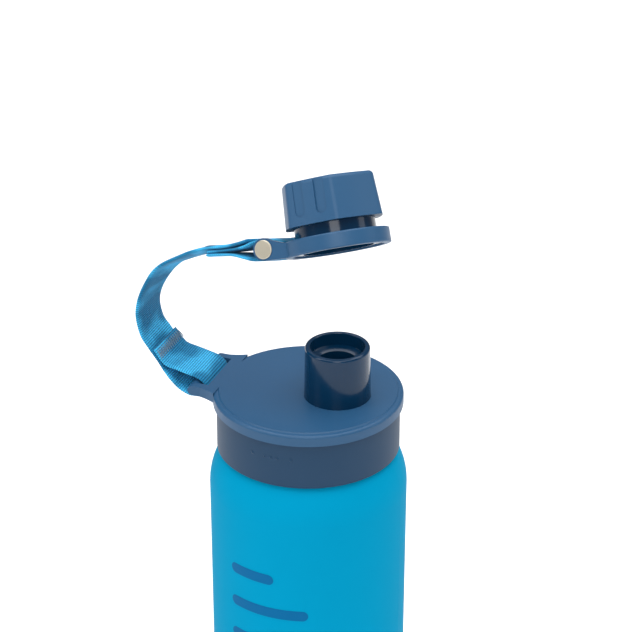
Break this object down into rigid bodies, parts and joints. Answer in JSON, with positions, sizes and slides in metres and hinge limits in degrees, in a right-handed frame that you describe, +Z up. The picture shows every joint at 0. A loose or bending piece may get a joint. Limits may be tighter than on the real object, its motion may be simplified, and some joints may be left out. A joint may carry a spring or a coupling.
{
  "type": "drinking bottle",
  "caption": "Drinking bottle with screw lid, tall pouring spout and hexagonal stopper cap on a short webbing tether.",
  "frame": {"origin": "centre of the flat base, on the surface the bottle stands on", "axes": "+Z up along the bottle's axis, +X towards the spout, -X towards the tether ear"},
  "size_m": [0.1013, 0.073, 0.2774],
  "materials": {
    "bottle": "frosted translucent blue",
    "collar": "fine matte",
    "lid": "satin",
    "spout": "gloss",
    "silicone": "matte",
    "clip": "satin",
    "pin": "satin nickel",
    "webbing": "ribbed polyester webbing",
    "thread": "polyester thread"
  },
  "bodies": {
    "bottle": {"bottle_body": "bottle"},
    "seal": {"lid_seal": "silicone"},
    "lid": {"lid_collar": "collar", "lid_cover": "lid", "spout_insert": "spout", "spout_gasket": "silicone"},
    "strap_low": {"webbing_lower_loop": "webbing", "lower_tack": "thread"},
    "strap_mid": {"webbing_run": "webbing"},
    "strap_high": {"webbing_upper": "webbing", "webbing_pin_loop": "webbing", "upper_tack": "thread"},
    "cap_plate": {"tether_plate": "lid", "hinge_pin": "pin", "pin_end_cap": "pin"},
    "cap": {"cap_core": "spout", "cap_shell": "lid", "cap_seal_ring": "silicone", "retaining_ring": "clip"}
  },
  "joints": [
    {"name": "lid_lift", "type": "slide", "parent": "bottle", "child": "seal", "axis": [0, 0, 1], "range_m": [0, 0.00668]},
    {"name": "lid_turn", "type": "hinge", "parent": "seal", "child": "lid", "pos_m": [0, 0, 0.1647], "axis": [0, 0, 1], "range_deg": [0, 600]},
    {"name": "strap_swing", "type": "hinge", "parent": "lid", "child": "strap_low", "pos_m": [-0.0403, 0, 0.1855], "axis": [0, 1, 0], "range_deg": [-90, 0]},
    {"name": "cap_lower", "type": "slide", "parent": "strap_low", "child": "strap_mid", "axis": [0, 0, -1], "range_m": [0, 0.02232], "deforming": ["webbing_run"]},
    {"name": "strap_fold", "type": "hinge", "parent": "strap_mid", "child": "strap_high", "pos_m": [-0.05435, 0, 0.23042], "axis": [0.5621, 0.8271, 0], "range_deg": [0, 42.4]},
    {"name": "cap_tip", "type": "hinge", "parent": "strap_high", "child": "cap_plate", "pos_m": [-0.01049, -0.00075, 0.24267], "axis": [-0.1216, -0.9174, 0.379], "range_deg": [0, 14.6]},
    {"name": "cap_turn", "type": "hinge", "parent": "cap_plate", "child": "cap", "pos_m": [0.01092, -0.00012, 0.25106], "axis": [-0.3327, 0.3974, 0.8552], "continuous": true}
  ],
  "couplings": [
    {"joint": "lid_lift", "follows": "lid_turn", "m_per_rad": 0.00063662},
    {"joint": "cap_tip", "follows": "strap_fold", "ratio": 0.34434}
  ]
}
